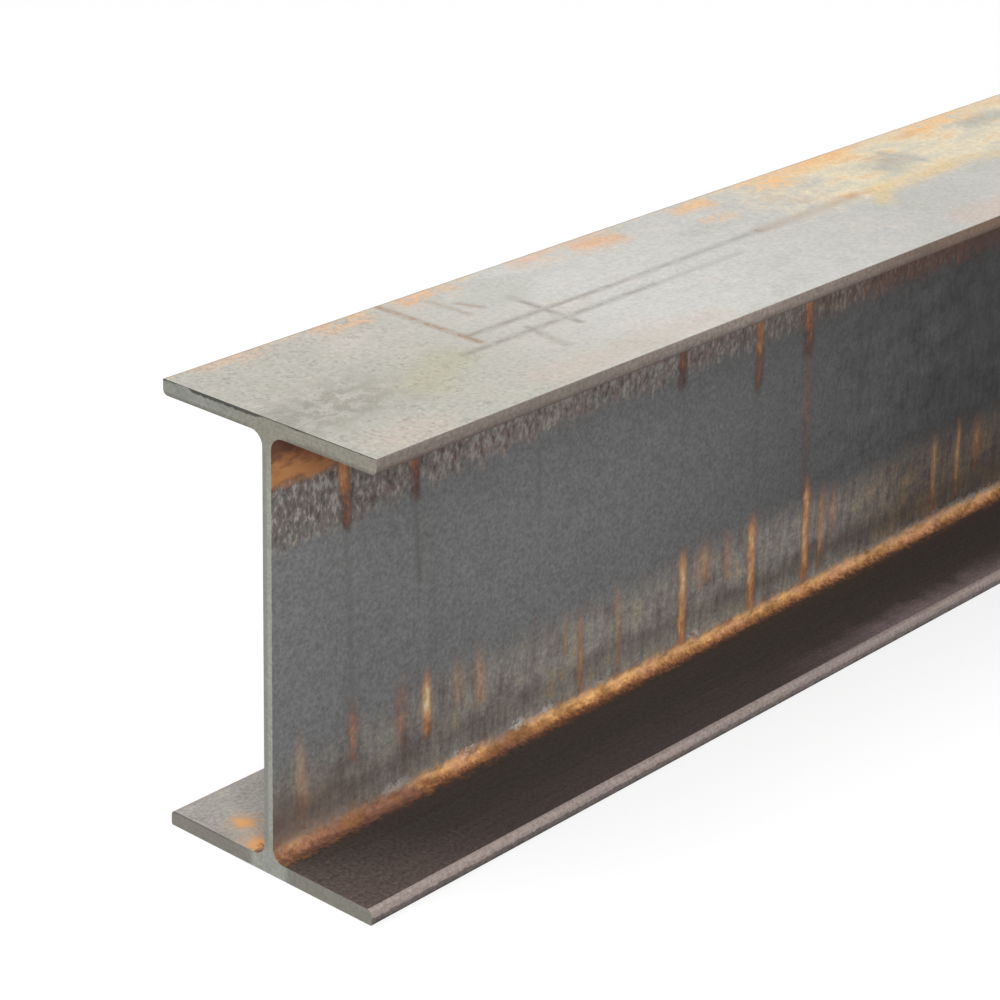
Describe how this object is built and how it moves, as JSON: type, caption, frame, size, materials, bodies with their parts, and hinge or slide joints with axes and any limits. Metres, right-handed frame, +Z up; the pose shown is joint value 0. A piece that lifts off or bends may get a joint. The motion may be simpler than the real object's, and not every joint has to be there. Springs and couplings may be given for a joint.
{
  "type": "steel h-beam",
  "caption": "Hot-rolled steel H-beam: parallel flanges joined by a thin filleted web, sawn square at both ends; spans an opening or stands as a post, carrying load.",
  "frame": {"origin": "middle of the bottom flange's underside, halfway along the beam", "axes": "X along the beam, with the picture's near end at -X; Y across the flanges, with the web face seen in the picture at -Y; Z up"},
  "size_m": [2, 0.146, 0.2514],
  "materials": {
    "mill_scale_steel": "as rolled, grey mill scale with light rust"
  },
  "bodies": {
    "root": {"h_beam": "mill_scale_steel"}
  },
  "joints": []
}
